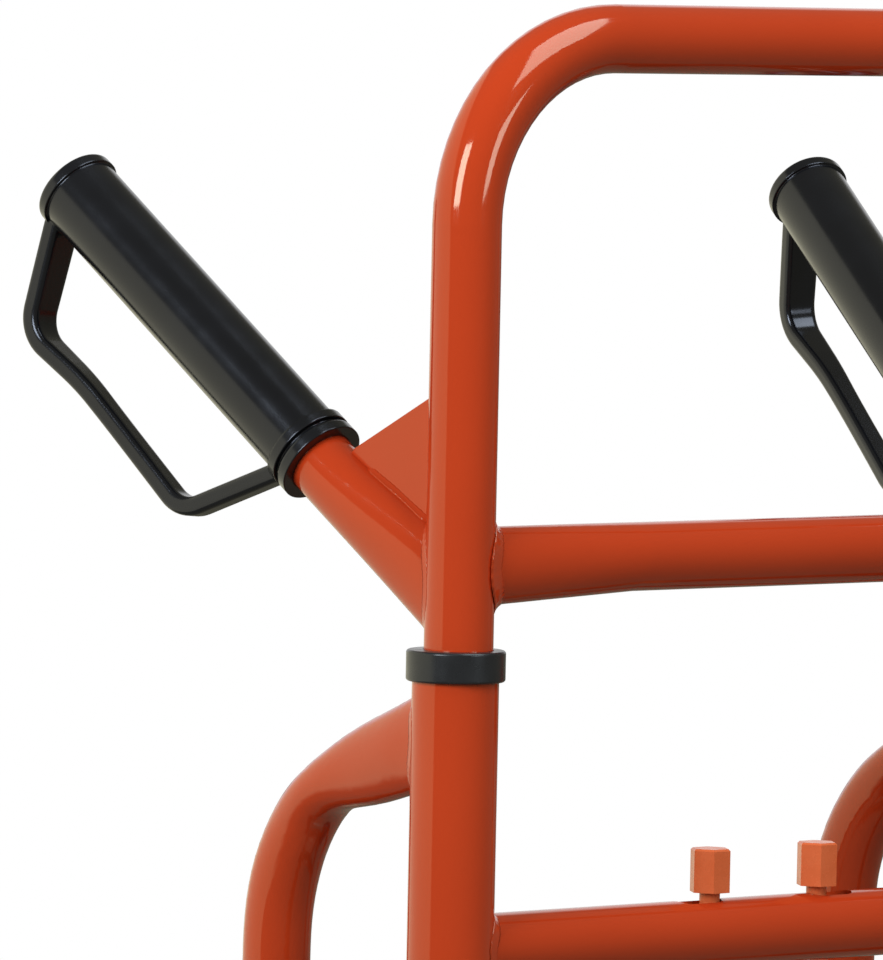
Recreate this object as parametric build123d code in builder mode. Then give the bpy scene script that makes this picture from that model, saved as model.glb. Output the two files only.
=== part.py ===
from build123d import *
from math import cos, pi, radians, sin, sqrt, tan
import os

# A steel sack truck with a hoop that telescopes out of two larger uprights.
# X runs across the truck, +Y points back to the user, -Y to the load, and Z is up.
# The origin is on the floor, under the uprights' axes, half way between them.
# Left and right are as seen from the load side, so left is -X. Sizes are in millimetres.

# Tubes
HOOP_TUBE_D = 28.0
HOOP_TUBE_WALL = 2.0
UPRIGHT_D = 35.0
UPRIGHT_WALL = 2.0

# Hoop, pushed right down
TOTAL_HEIGHT = 1050.0
HOOP_SPACING = 330.0
HOOP_BEND_R = 75.0
HOOP_TRAVEL = 250.0
LEG_GRIP = 410.0
HOOP_BAR_DROP = 210.0
PINCH_HEIGHT = 32.5
PINCH_SAG = 2.25
PINCH_DEPTH = 21.0
PINCH_LENGTH = 75.0

# Handles
HANDLE_DROP = 230.0
HANDLE_OUTSET = 1.5
HANDLE_RISE = 37.2
HANDLE_SPLAY = 9.5
HANDLE_LENGTH = 266.0
GUSSET_RISE = 94.0
GUSSET_REACH = 82.5
GUSSET_TIP = 16.2
GUSSET_T = 5.0
GRIP_START = 93.0
GRIP_END = 271.0
GRIP_D = 33.6
GRIP_RIM_D = 37.6
GRIP_END_D = 36.0
GUARD_TURN = 6.0
GUARD_DEPTH = 8.0

# Uprights and collars
LEG_INSET = 1.2
COLLAR_DROP = 245.0
COLLAR_HEIGHT = 12.6
COLLAR_D = 40.0
COLLAR_CAP = 4.0
COLLAR_EDGE_R = 1.2

# Cross bars between the uprights
LOCK_BAR_DROP = 366.0
MIDDLE_BAR_Z = 465.0
BOTTOM_BAR_Z = 260.0

# Skids behind the uprights
SKID_DROP = 278.8
SKID_SLOPE = 17.1
SKID_BACK = 125.0
SKID_OUTSET = 5.0
SKID_TOE_IN = 10.0
SKID_BEND_R = 79.3
SKID_END_Z = 152.0

# Squeeze lock in the top cross bar
PEG_X = 29.2
PEG_HEX = 15.0
PEG_HEIGHT = 18.0
PEG_GAP = 3.0
PEG_SHANK_D = 8.5
PEG_CHAMFER = 0.8
LOCK_TRAVEL = 12.0
LOCK_STEPS = 5
BOLT_D = 12.0
SLIDER_LENGTH = 26.0
SLIDER_D = 23.4
SLOT_WIDTH = 10.0
SPRING_TURNS = 6
SPRING_WIRE_D = 2.0
SPRING_D = 20.0

# Toe plate
PLATE_T = 5.0
PLATE_WIDTH = 380.0
PLATE_FRONT = 230.0
PLATE_HEEL = 22.0
PLATE_CORNER_R = 30.0
PLATE_BEVEL = 18.0
PLATE_LIP = 2.0
PLATE_EDGE_R = 0.8
TOE_RIB_T = 6.0
TOE_RIB_REACH = 78.0
TOE_RIB_HEIGHT = 72.0

# Wheels
WHEEL_D = 260.0
WHEEL_WIDTH = 85.0
WHEEL_X = 240.0
AXLE_D = 20.0
AXLE_BRACKET_T = 6.0
HUB_D = 54.0
HUB_LENGTH = 76.0
BEARING_D = 47.0
BEARING_WIDTH = 14.0
RIM_SEAT_D = 102.0
RIM_FLANGE_D = 120.0
RIM_WIDTH = 52.0
RIM_SHEET = 2.5
RIM_BOLT_CIRCLE = 72.0
RIM_BOLTS = 4

# Clearances
SLIDE_GAP = 0.3
RUNNING_GAP = 0.05
PUSH_FIT_GAP = 0.08
END_GAP = 0.5
BOLT_HOLE_GAP = 0.5
BOLT_TIP_GAP = 1.0
SLOT_END_GAP = 1.0

# Places worked out from the sizes above
SIDES = (("left", -1), ("right", 1))
HOOP_R = HOOP_TUBE_D / 2
HOOP_BORE_R = HOOP_R - HOOP_TUBE_WALL
UPRIGHT_R = UPRIGHT_D / 2
UPRIGHT_BORE_R = UPRIGHT_R - UPRIGHT_WALL
LEG_X = HOOP_SPACING / 2
UPRIGHT_X = LEG_X + LEG_INSET
HOOP_TOP_Z = TOTAL_HEIGHT - HOOP_R
HOOP_BAR_Z = HOOP_TOP_Z - HOOP_BAR_DROP
HANDLE_Z = HOOP_TOP_Z - HANDLE_DROP
COLLAR_TOP_Z = HOOP_TOP_Z - COLLAR_DROP
UPRIGHT_TOP_Z = COLLAR_TOP_Z - COLLAR_CAP
LEG_END_Z = COLLAR_TOP_Z - LEG_GRIP
LOCK_Z = HOOP_TOP_Z - LOCK_BAR_DROP
AXLE_Y = SKID_BACK
AXLE_Z = WHEEL_D / 2
AXLE_R = AXLE_D / 2
BRACKET_X = UPRIGHT_X - SKID_TOE_IN
BOLT_HOLE_R = BOLT_D / 2 + BOLT_HOLE_GAP
OVAL_POINTS = 12

os.makedirs("parts", exist_ok=True)


def finish(piece, name):
    """Names a finished piece and writes it to its own file."""
    piece.part.label = name
    export_step(piece.part, f"parts/{name}.step")


def ring(outer_r, bore_r):
    """Draws a tube's section in the sketch that is open."""
    Circle(outer_r)
    Circle(bore_r, mode=Mode.SUBTRACT)


def oval_points(half_width, half_height):
    """Gives evenly turned points round an oval, for a closed spline."""
    angles = [2 * pi * step / OVAL_POINTS for step in range(OVAL_POINTS)]
    return [(half_width * cos(angle), half_height * sin(angle)) for angle in angles]


def handle_frame(sign):
    """Gives the foot and direction of a handle, and the way its guard hangs."""
    rise = radians(HANDLE_RISE)
    splay = radians(HANDLE_SPLAY)
    turn = radians(GUARD_TURN)
    foot = Vector(sign * (LEG_X + HANDLE_OUTSET), 0, HANDLE_Z)
    back = Vector(sign * sin(splay), cos(splay), 0)
    along = back * cos(rise) + Vector(0, 0, 1) * sin(rise)
    below = back * sin(rise) - Vector(0, 0, 1) * cos(rise)
    outward = Vector(sign * cos(splay), -sin(splay), 0)
    hang = below * cos(turn) + outward * sin(turn)
    return foot, back, along, hang


def wheel_plane(sign):
    """Plane through a wheel's axis: local x points outboard, local y is the radius."""
    centre = (sign * WHEEL_X, AXLE_Y, AXLE_Z)
    return Plane(origin=centre, x_dir=(sign, 0, 0), z_dir=(0, -sign, 0))


WHEEL_AXIS = Axis((0, AXLE_Y, AXLE_Z), (1, 0, 0))

# Uprights: plain tubes on the toe plate, each with one hole for its lock bolt.
for side, sign in SIDES:
    with BuildPart() as upright:
        with BuildSketch(Plane.XY.offset(PLATE_T)):
            with Locations((sign * UPRIGHT_X, 0)):
                ring(UPRIGHT_R, UPRIGHT_BORE_R)
        extrude(amount=UPRIGHT_TOP_Z - PLATE_T)
        with BuildSketch(Plane.YZ.offset(sign * UPRIGHT_X)):
            with Locations((0, LOCK_Z)):
                Circle(BOLT_HOLE_R)
        extrude(amount=-sign * UPRIGHT_D, mode=Mode.SUBTRACT)
    finish(upright, f"{side}_upright")

# Collars: moulded caps over the uprights' mouths, bored to guide the hoop's legs.
for side, sign in SIDES:
    with BuildPart() as collar:
        with BuildSketch(Plane.XY.offset(COLLAR_TOP_Z - COLLAR_HEIGHT)):
            with Locations((sign * UPRIGHT_X, 0)):
                Circle(COLLAR_D / 2)
        extrude(amount=COLLAR_HEIGHT)
        fillet(collar.edges().filter_by(GeomType.CIRCLE), radius=COLLAR_EDGE_R)
        with BuildSketch(Plane.XY.offset(UPRIGHT_TOP_Z)):
            with Locations((sign * UPRIGHT_X, 0)):
                Circle(UPRIGHT_R)
        extrude(amount=-COLLAR_HEIGHT, mode=Mode.SUBTRACT)
        with BuildSketch(Plane.XY.offset(COLLAR_TOP_Z)):
            with Locations((sign * LEG_X, 0)):
                Circle(HOOP_R + SLIDE_GAP)
        extrude(amount=-COLLAR_HEIGHT, mode=Mode.SUBTRACT)
    finish(collar, f"{side}_collar")


def cross_bar(height):
    """A tube between the uprights, coped to them at both ends."""
    with BuildPart() as bar:
        with BuildSketch(Plane.YZ):
            with Locations((0, height)):
                ring(HOOP_R, HOOP_BORE_R)
        extrude(amount=UPRIGHT_X, both=True)
        with BuildSketch(Plane.XY.offset(height)):
            with Locations((-UPRIGHT_X, 0), (UPRIGHT_X, 0)):
                Circle(UPRIGHT_R)
        extrude(amount=UPRIGHT_D, both=True, mode=Mode.SUBTRACT)
    return bar


finish(cross_bar(MIDDLE_BAR_Z), "middle_cross_bar")
finish(cross_bar(BOTTOM_BAR_Z), "bottom_cross_bar")

# Lock bar: the top cross bar, slotted along its top for the two release pegs.
SLOT_INNER_X = PEG_X - SLOT_WIDTH / 2
SLOT_OUTER_X = PEG_X + LOCK_TRAVEL + SLOT_WIDTH / 2 + SLOT_END_GAP
with BuildPart() as lock_bar:
    add(cross_bar(LOCK_Z).part)
    with BuildSketch(Plane.XY.offset(LOCK_Z)):
        for side, sign in SIDES:
            with Locations((sign * (SLOT_INNER_X + SLOT_OUTER_X) / 2, 0)):
                SlotOverall(SLOT_OUTER_X - SLOT_INNER_X, SLOT_WIDTH)
    extrude(amount=HOOP_TUBE_D, mode=Mode.SUBTRACT)
finish(lock_bar, "lock_cross_bar")

# Lock bolts: a slider that fills the bar, with a round bolt that reaches for the leg.
SLIDER_INNER_X = PEG_X - SLIDER_LENGTH / 2
SLIDER_OUTER_X = PEG_X + SLIDER_LENGTH / 2
BOLT_TIP_X = LEG_X - HOOP_R - BOLT_TIP_GAP
BOLT_TIP_CHAMFER = 1.5
for side, sign in SIDES:
    with BuildPart() as lock_bolt:
        with BuildSketch(Plane.YZ.offset(sign * SLIDER_INNER_X)):
            with Locations((0, LOCK_Z)):
                Circle(SLIDER_D / 2)
        extrude(amount=sign * SLIDER_LENGTH)
        with BuildSketch(Plane.YZ.offset(sign * SLIDER_OUTER_X)):
            with Locations((0, LOCK_Z)):
                Circle(BOLT_D / 2)
        extrude(amount=sign * (BOLT_TIP_X - SLIDER_OUTER_X))
        tip = lock_bolt.faces().sort_by(Axis.X)[0 if sign < 0 else -1]
        chamfer(tip.edges(), length=BOLT_TIP_CHAMFER)
        with BuildSketch(Plane.XY.offset(LOCK_Z)):
            with Locations((sign * PEG_X, 0)):
                Circle(PEG_SHANK_D / 2)
        extrude(amount=SLIDER_D, mode=Mode.SUBTRACT)
    finish(lock_bolt, f"{side}_lock_bolt")

# Release pegs: hexagon studs screwed down into the sliders, squeezed by finger and thumb.
PEG_FOOT_Z = LOCK_Z + HOOP_R + PEG_GAP
for side, sign in SIDES:
    with BuildPart() as release_peg:
        with BuildSketch(Plane.XY.offset(PEG_FOOT_Z)):
            with Locations((sign * PEG_X, 0)):
                RegularPolygon(PEG_HEX / 2, 6, major_radius=False)
        extrude(amount=PEG_HEIGHT)
        chamfer(release_peg.faces().sort_by(Axis.Z)[-1].edges(), length=PEG_CHAMFER)
        with BuildSketch(Plane.XY.offset(LOCK_Z)):
            with Locations((sign * PEG_X, 0)):
                Circle(PEG_SHANK_D / 2)
        extrude(amount=PEG_FOOT_Z - LOCK_Z)
    finish(release_peg, f"{side}_release_peg")

# Bolt guides: bushes pressed into the ends of the lock bar.
GUIDE_INSET = 2.0
GUIDE_OUTER_X = UPRIGHT_X - UPRIGHT_R - GUIDE_INSET
GUIDE_LENGTH = 28.0
for side, sign in SIDES:
    with BuildPart() as bolt_guide:
        with BuildSketch(Plane.YZ.offset(sign * GUIDE_OUTER_X)):
            with Locations((0, LOCK_Z)):
                ring(HOOP_BORE_R, BOLT_D / 2 + SLIDE_GAP)
        extrude(amount=-sign * GUIDE_LENGTH)
    finish(bolt_guide, f"{side}_bolt_guide")


def coil_path(start_x, end_x, radius, turns, height):
    """A helix about X at the given height, drawn as tangent pairs of arcs, four spans to a turn."""
    spans = 4 * turns
    climb = (end_x - start_x) / (2 * pi * turns)
    points = []
    tangents = []
    for step in range(spans + 1):
        angle = step * pi / 2
        points.append(Vector(start_x + climb * angle, radius * cos(angle), height + radius * sin(angle)))
        tangents.append(Vector(climb, -radius * sin(angle), radius * cos(angle)).normalized())
    for first in range(spans):
        chord = points[first + 1] - points[first]
        sum_along = chord.dot(tangents[first] + tangents[first + 1])
        spread = 2 * (1 - tangents[first].dot(tangents[first + 1]))
        reach = (sqrt(sum_along**2 + spread * chord.dot(chord)) - sum_along) / spread
        near = points[first] + tangents[first] * reach
        far = points[first + 1] - tangents[first + 1] * reach
        middle = (near + far) * 0.5
        TangentArc(points[first], middle, tangent=tangents[first])
        TangentArc(middle, points[first + 1], tangent=far - near)


# Lock spring: one compression spring between the two sliders, pushing both outward.
SPRING_END_X = SLIDER_INNER_X - SPRING_WIRE_D / 2 - SLIDE_GAP
SPRING_PITCH = 2 * SPRING_END_X / SPRING_TURNS
print("lock spring gap between turns", round(SPRING_PITCH - SPRING_WIRE_D, 2))
with BuildPart() as lock_spring:
    with BuildLine() as spring_path:
        coil_path(-SPRING_END_X, SPRING_END_X, (SPRING_D - SPRING_WIRE_D) / 2, SPRING_TURNS, LOCK_Z)
    with BuildSketch(Plane(origin=spring_path.wire() @ 0, z_dir=spring_path.wire() % 0)):
        Circle(SPRING_WIRE_D / 2)
    sweep(path=spring_path.wire())
finish(lock_spring, "lock_spring")

# Axle brackets: plates welded to the uprights' backs, with an eye for the axle.
BRACKET_CORNER_R = 12.0
BRACKET_EYE_R = 30.0
BRACKET_FOOT_Z = 78.0
BRACKET_HEAD_Z = 225.0
BRACKET_TIP_Z = 174.0
BRACKET_CORNERS = ((UPRIGHT_R, BRACKET_FOOT_Z), (UPRIGHT_R, BRACKET_HEAD_Z), (AXLE_Y, BRACKET_TIP_Z))
bracket_solids = {}
for side, sign in SIDES:
    with BuildPart() as axle_bracket:
        with BuildSketch(Plane.YZ.offset(sign * BRACKET_X)):
            with Locations((AXLE_Y, AXLE_Z)):
                Circle(BRACKET_EYE_R)
            with Locations(*BRACKET_CORNERS):
                Circle(BRACKET_CORNER_R)
            make_hull()
            with Locations((AXLE_Y, AXLE_Z)):
                Circle(AXLE_R, mode=Mode.SUBTRACT)
        extrude(amount=AXLE_BRACKET_T / 2, both=True)
        with BuildSketch(Plane.XY):
            with Locations((sign * UPRIGHT_X, 0)):
                Circle(UPRIGHT_R)
        extrude(amount=2 * BRACKET_HEAD_Z, mode=Mode.SUBTRACT)
    bracket_solids[side] = axle_bracket.part
    finish(axle_bracket, f"{side}_axle_bracket")

# Skids: tubes pinched to a tall oval where they meet the uprights under the collars. They
# bend down behind the uprights, a little flattened in the bend, and their lower ends are
# slotted over the axle brackets.
SKID_ACROSS = SKID_OUTSET + SKID_TOE_IN
SKID_RUN = sqrt(SKID_BACK**2 + SKID_ACROSS**2)
SKID_Z = HOOP_TOP_Z - SKID_DROP
SKID_FALL = tan(radians(SKID_SLOPE))
SKID_CORNER_Z = SKID_Z - SKID_RUN * SKID_FALL
SKID_TURN = radians(90 - SKID_SLOPE)
SKID_TANGENT = SKID_BEND_R * tan(SKID_TURN / 2)
SKID_BEND_END = SKID_RUN / cos(radians(SKID_SLOPE)) - SKID_TANGENT + SKID_BEND_R * SKID_TURN
SKID_SETTLE = 36.0
SKID_LOFT_END = SKID_BEND_END + SKID_SETTLE
SKID_STRAIGHT = SKID_CORNER_Z - SKID_TANGENT - SKID_SETTLE - SKID_END_Z

# The skids' sections by distance along the tube, with half their width and half their height.
SKID_SECTIONS = (
    (0.0, 10.5, 19.4),
    (22.0, 10.8, 18.9),
    (46.0, 11.6, 17.5),
    (70.0, 12.6, 14.9),
    (94.0, 14.2, 12.0),
    (116.0, 13.7, 13.2),
    (136.0, 13.9, 13.8),
    (156.0, HOOP_R, HOOP_R),
    (SKID_BEND_END, HOOP_R, HOOP_R),
    (SKID_BEND_END + SKID_SETTLE / 2, HOOP_R, HOOP_R),
    (SKID_LOFT_END, HOOP_R, HOOP_R),
)
for side, sign in SIDES:
    skid_back = Vector(-sign * SKID_ACROSS, SKID_BACK, 0).normalized()
    skid_normal = skid_back.cross(Vector(0, 0, 1))
    skid_root = Vector(sign * (UPRIGHT_X + SKID_OUTSET), 0, SKID_Z)
    skid_plane = Plane(origin=skid_root, x_dir=skid_back, z_dir=skid_normal)
    with BuildLine(skid_plane) as skid_path:
        FilletPolyline(
            (0, 0),
            (SKID_RUN, -SKID_RUN * SKID_FALL),
            (SKID_RUN, SKID_END_Z - SKID_Z),
            radius=SKID_BEND_R,
        )
    skid_route = skid_path.wire()
    with BuildPart() as skid:
        for inset, mode in ((0, Mode.ADD), (HOOP_TUBE_WALL, Mode.SUBTRACT)):
            for distance, half_width, half_height in SKID_SECTIONS:
                place = skid_route.position_at(distance, position_mode=PositionMode.LENGTH)
                heading = skid_route.tangent_at(distance, position_mode=PositionMode.LENGTH)
                with BuildSketch(Plane(origin=place, x_dir=skid_normal, z_dir=heading)):
                    with BuildLine():
                        Spline(*oval_points(half_width - inset, half_height - inset), periodic=True)
                    make_face()
            loft(mode=mode)
        run_start = skid_route.position_at(SKID_LOFT_END, position_mode=PositionMode.LENGTH)
        with BuildSketch(Plane(origin=run_start, x_dir=skid_normal, z_dir=(0, 0, -1))):
            for radius, mode in ((HOOP_R, Mode.ADD), (HOOP_BORE_R, Mode.SUBTRACT)):
                with BuildLine():
                    Spline(*oval_points(radius, radius), periodic=True)
                make_face(mode=mode)
        extrude(amount=SKID_STRAIGHT)
        with BuildSketch(Plane.XY.offset(SKID_CORNER_Z)):
            with Locations((sign * UPRIGHT_X, 0)):
                Circle(UPRIGHT_R)
        extrude(amount=COLLAR_TOP_Z - SKID_CORNER_Z, mode=Mode.SUBTRACT)
        add(bracket_solids[side], mode=Mode.SUBTRACT)
    finish(skid, f"{side}_skid")

# Toe plate: one steel plate with rounded front corners and a bevelled leading edge.
with BuildPart() as toe_plate:
    with BuildSketch(Plane.XY):
        with Locations((0, (PLATE_HEEL - PLATE_FRONT) / 2)):
            Rectangle(PLATE_WIDTH, PLATE_FRONT + PLATE_HEEL)
    extrude(amount=PLATE_T)
    front_corners = toe_plate.edges().filter_by(Axis.Z).group_by(Axis.Y)[0]
    fillet(front_corners, radius=PLATE_CORNER_R)
    leading_edge = toe_plate.faces().sort_by(Axis.Z)[-1].edges().sort_by(Axis.Y)[0]
    leading_face = toe_plate.faces().sort_by(Axis.Y)[0]
    chamfer(leading_edge, length=PLATE_T - PLATE_LIP, length2=PLATE_BEVEL, reference=leading_face)
    fillet(toe_plate.faces().sort_by(Axis.Z)[-1].edges(), radius=PLATE_EDGE_R)
finish(toe_plate, "toe_plate")

# Toe ribs: triangular plates that brace the uprights against the toe plate.
for side, sign in SIDES:
    with BuildPart() as toe_rib:
        with BuildSketch(Plane.YZ.offset(sign * UPRIGHT_X)):
            with BuildLine():
                Polyline(
                    (0, PLATE_T),
                    (-TOE_RIB_REACH, PLATE_T),
                    (-TOE_RIB_REACH, PLATE_T + TOE_RIB_T),
                    (-UPRIGHT_R - TOE_RIB_T, PLATE_T + TOE_RIB_HEIGHT),
                    (0, PLATE_T + TOE_RIB_HEIGHT),
                    close=True,
                )
            make_face()
        extrude(amount=TOE_RIB_T / 2, both=True)
        with BuildSketch(Plane.XY):
            with Locations((sign * UPRIGHT_X, 0)):
                Circle(UPRIGHT_R)
        extrude(amount=2 * TOE_RIB_HEIGHT, mode=Mode.SUBTRACT)
    finish(toe_rib, f"{side}_toe_rib")

# Axle: one round bar through both brackets and both wheels.
HUB_INNER_X = WHEEL_X - HUB_LENGTH / 2
HUB_OUTER_X = WHEEL_X + HUB_LENGTH / 2
WASHER_T = 3.0
WASHER_D = 36.0
CAP_SKIRT = 9.0
CAP_WALL = 2.0
AXLE_CHAMFER = 1.0
WASHER_X = HUB_OUTER_X + END_GAP
CAP_X = WASHER_X + WASHER_T
AXLE_END_X = CAP_X + CAP_SKIRT
with BuildPart() as axle:
    with BuildSketch(Plane.YZ):
        with Locations((AXLE_Y, AXLE_Z)):
            Circle(AXLE_R)
    extrude(amount=AXLE_END_X, both=True)
    chamfer(axle.edges().filter_by(GeomType.CIRCLE), length=AXLE_CHAMFER)
finish(axle, "axle")

# Axle spacers: sleeves that hold each wheel away from its bracket.
SPACER_INNER_X = BRACKET_X + AXLE_BRACKET_T / 2
SPACER_WALL = 4.0
for side, sign in SIDES:
    with BuildPart() as axle_spacer:
        with BuildSketch(Plane.YZ.offset(sign * SPACER_INNER_X)):
            with Locations((AXLE_Y, AXLE_Z)):
                ring(AXLE_R + SPACER_WALL, AXLE_R)
        extrude(amount=sign * (HUB_INNER_X - END_GAP - SPACER_INNER_X))
    finish(axle_spacer, f"{side}_axle_spacer")

# Axle washers: one outside each wheel.
with BuildPart() as axle_washers:
    for side, sign in SIDES:
        with BuildSketch(Plane.YZ.offset(sign * WASHER_X)):
            with Locations((AXLE_Y, AXLE_Z)):
                ring(WASHER_D / 2, AXLE_R)
        extrude(amount=sign * WASHER_T)
finish(axle_washers, "axle_washers")

# Axle caps: domed caps pushed on to the axle's ends.
CAP_R = AXLE_R + CAP_WALL
CAP_LIP = 1.5
CAP_DOME = 5.0
for side, sign in SIDES:
    with BuildPart() as axle_cap:
        cap_plane = Plane(origin=(sign * CAP_X, AXLE_Y, AXLE_Z), x_dir=(sign, 0, 0), z_dir=(0, -sign, 0))
        with BuildSketch(cap_plane):
            with BuildLine():
                Polyline((CAP_SKIRT, 0), (CAP_SKIRT, AXLE_R), (0, AXLE_R), (0, CAP_R + CAP_LIP))
                Polyline((0, CAP_R + CAP_LIP), (CAP_LIP, CAP_R), (CAP_SKIRT, CAP_R))
                TangentArc((CAP_SKIRT + CAP_DOME, 0), (CAP_SKIRT, CAP_R), tangent=(0, 1))
                Line((CAP_SKIRT + CAP_DOME, 0), (CAP_SKIRT, 0))
            make_face()
        revolve(axis=WHEEL_AXIS)
    finish(axle_cap, f"{side}_axle_cap")

# Hoop: one bent tube, its legs drilled on the inner side for the lock bolts.
LOCK_PITCH = HOOP_TRAVEL / LOCK_STEPS
with BuildPart() as hoop_tube:
    with BuildLine(Plane.XZ) as hoop_path:
        FilletPolyline(
            (-LEG_X, LEG_END_Z),
            (-LEG_X, HOOP_TOP_Z),
            (LEG_X, HOOP_TOP_Z),
            (LEG_X, LEG_END_Z),
            radius=HOOP_BEND_R,
        )
    with BuildSketch(Plane.XY.offset(LEG_END_Z)):
        with Locations((-LEG_X, 0)):
            ring(HOOP_R, HOOP_BORE_R)
    sweep(path=hoop_path.wire())
    for side, sign in SIDES:
        with BuildSketch(Plane.YZ.offset(sign * LEG_X)):
            for step in range(LOCK_STEPS + 1):
                with Locations((0, LOCK_Z - step * LOCK_PITCH)):
                    Circle(BOLT_HOLE_R)
        extrude(amount=-sign * HOOP_TUBE_D, mode=Mode.SUBTRACT)
finish(hoop_tube, "hoop_tube")

# Leg glides: plastic feet plugged into the legs, running in the uprights' bores.
GLIDE_LENGTH = 24.0
GLIDE_CHAMFER = 2.0
for side, sign in SIDES:
    with BuildPart() as leg_glide:
        with BuildSketch(Plane.XY.offset(LEG_END_Z)):
            with Locations((sign * UPRIGHT_X, 0)):
                Circle(UPRIGHT_BORE_R - SLIDE_GAP)
        extrude(amount=-GLIDE_LENGTH)
        chamfer(leg_glide.faces().sort_by(Axis.Z)[0].edges(), length=GLIDE_CHAMFER)
        with BuildSketch(Plane.XY.offset(LEG_END_Z)):
            with Locations((sign * LEG_X, 0)):
                Circle(HOOP_BORE_R)
        extrude(amount=GLIDE_LENGTH)
    finish(leg_glide, f"{side}_leg_glide")

# Hoop cross bar: a tube whose ends are pinched to a tall oval that sags below the round part,
# so that its top runs straight, and coped to the legs.
PINCH_START_X = LEG_X - HOOP_R - PINCH_LENGTH
with BuildPart() as hoop_bar:
    with BuildSketch(Plane.YZ):
        with Locations((0, HOOP_BAR_Z)):
            Circle(HOOP_R)
    extrude(amount=PINCH_START_X, both=True)
    for inset, mode in ((0, Mode.ADD), (HOOP_TUBE_WALL, Mode.SUBTRACT)):
        for side, sign in SIDES:
            with BuildSketch(Plane.YZ.offset(sign * PINCH_START_X)):
                with Locations((0, HOOP_BAR_Z)):
                    Circle(HOOP_R - inset)
            with BuildSketch(Plane.YZ.offset(sign * LEG_X)):
                with Locations((0, HOOP_BAR_Z - PINCH_SAG)):
                    Ellipse(PINCH_DEPTH / 2 - inset, PINCH_HEIGHT / 2 - inset)
            loft(mode=mode)
    with BuildSketch(Plane.YZ):
        with Locations((0, HOOP_BAR_Z)):
            Circle(HOOP_BORE_R)
    extrude(amount=PINCH_START_X, both=True, mode=Mode.SUBTRACT)
    with BuildSketch(Plane.XY.offset(HOOP_BAR_Z)):
        with Locations((-LEG_X, 0), (LEG_X, 0)):
            Circle(HOOP_R)
    extrude(amount=PINCH_HEIGHT, both=True, mode=Mode.SUBTRACT)
finish(hoop_bar, "hoop_cross_bar")

# Handle tubes: straight tubes that rise back and splay outward. Their feet are pinched to a tall
# oval, most of it above the tube's line, and coped to the legs.
HANDLE_START = 2.0
HANDLE_ROUND = 91.0

# The handles' sections by distance along the tube, with half their width, half their height and
# how far their middle is lifted off the tube's axis.
HANDLE_SECTIONS = (
    (HANDLE_START, 9.6, 17.8, 2.4),
    (26.0, 10.1, 17.4, 2.3),
    (49.0, 11.5, 16.3, 1.6),
    (71.0, 13.1, 14.8, 0.5),
    (HANDLE_ROUND, HOOP_R, HOOP_R, 0.0),
)


def pinched_foot(sign, inset):
    """The pinched end of a handle, drawn in by the inset all round."""
    foot, back, along, hang = handle_frame(sign)
    across = back.cross(Vector(0, 0, 1))
    above = across.cross(along)
    with BuildPart() as pinch:
        for distance, half_width, half_height, lift in HANDLE_SECTIONS:
            middle = foot + along * distance + above * lift
            with BuildSketch(Plane(origin=middle, x_dir=across, z_dir=along)):
                with BuildLine():
                    Spline(*oval_points(half_width - inset, half_height - inset), periodic=True)
                make_face()
        loft()
    return pinch.part


for side, sign in SIDES:
    foot, back, along, hang = handle_frame(sign)
    across = back.cross(Vector(0, 0, 1))
    with BuildPart() as handle_tube:
        add(pinched_foot(sign, 0))
        add(pinched_foot(sign, HOOP_TUBE_WALL), mode=Mode.SUBTRACT)
        with BuildSketch(Plane(origin=foot + along * HANDLE_ROUND, x_dir=across, z_dir=along)):
            for radius, mode in ((HOOP_R, Mode.ADD), (HOOP_BORE_R, Mode.SUBTRACT)):
                with BuildLine():
                    Spline(*oval_points(radius, radius), periodic=True)
                make_face(mode=mode)
        extrude(amount=HANDLE_LENGTH - HANDLE_ROUND)
        with BuildSketch(Plane.XY.offset(HANDLE_Z)):
            with Locations((sign * LEG_X, 0)):
                Circle(HOOP_R)
        extrude(amount=2 * HOOP_TUBE_D, both=True, mode=Mode.SUBTRACT)
    finish(handle_tube, f"{side}_handle_tube")

# Handle gussets: flat plates in the corner between each leg and its handle.
for side, sign in SIDES:
    foot, back, along, hang = handle_frame(sign)
    leg_foot = Vector(sign * LEG_X, 0, HANDLE_Z)
    gusset_plane = Plane(origin=leg_foot, x_dir=back, z_dir=back.cross(Vector(0, 0, 1)))
    rise = radians(HANDLE_RISE)
    axis_point = (GUSSET_REACH * cos(rise), GUSSET_REACH * sin(rise))
    tip_point = (axis_point[0] - GUSSET_TIP * sin(rise), axis_point[1] + GUSSET_TIP * cos(rise))
    with BuildPart() as handle_gusset:
        with BuildSketch(gusset_plane):
            with BuildLine():
                Polyline((0, 0), axis_point, tip_point, (0, GUSSET_RISE), close=True)
            make_face()
        extrude(amount=GUSSET_T / 2, both=True)
        add(pinched_foot(sign, 0), mode=Mode.SUBTRACT)
        with BuildSketch(Plane.XY.offset(HANDLE_Z)):
            with Locations((sign * LEG_X, 0)):
                Circle(HOOP_R)
        extrude(amount=HANDLE_DROP, both=True, mode=Mode.SUBTRACT)
    finish(handle_gusset, f"{side}_handle_gusset")

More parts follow.
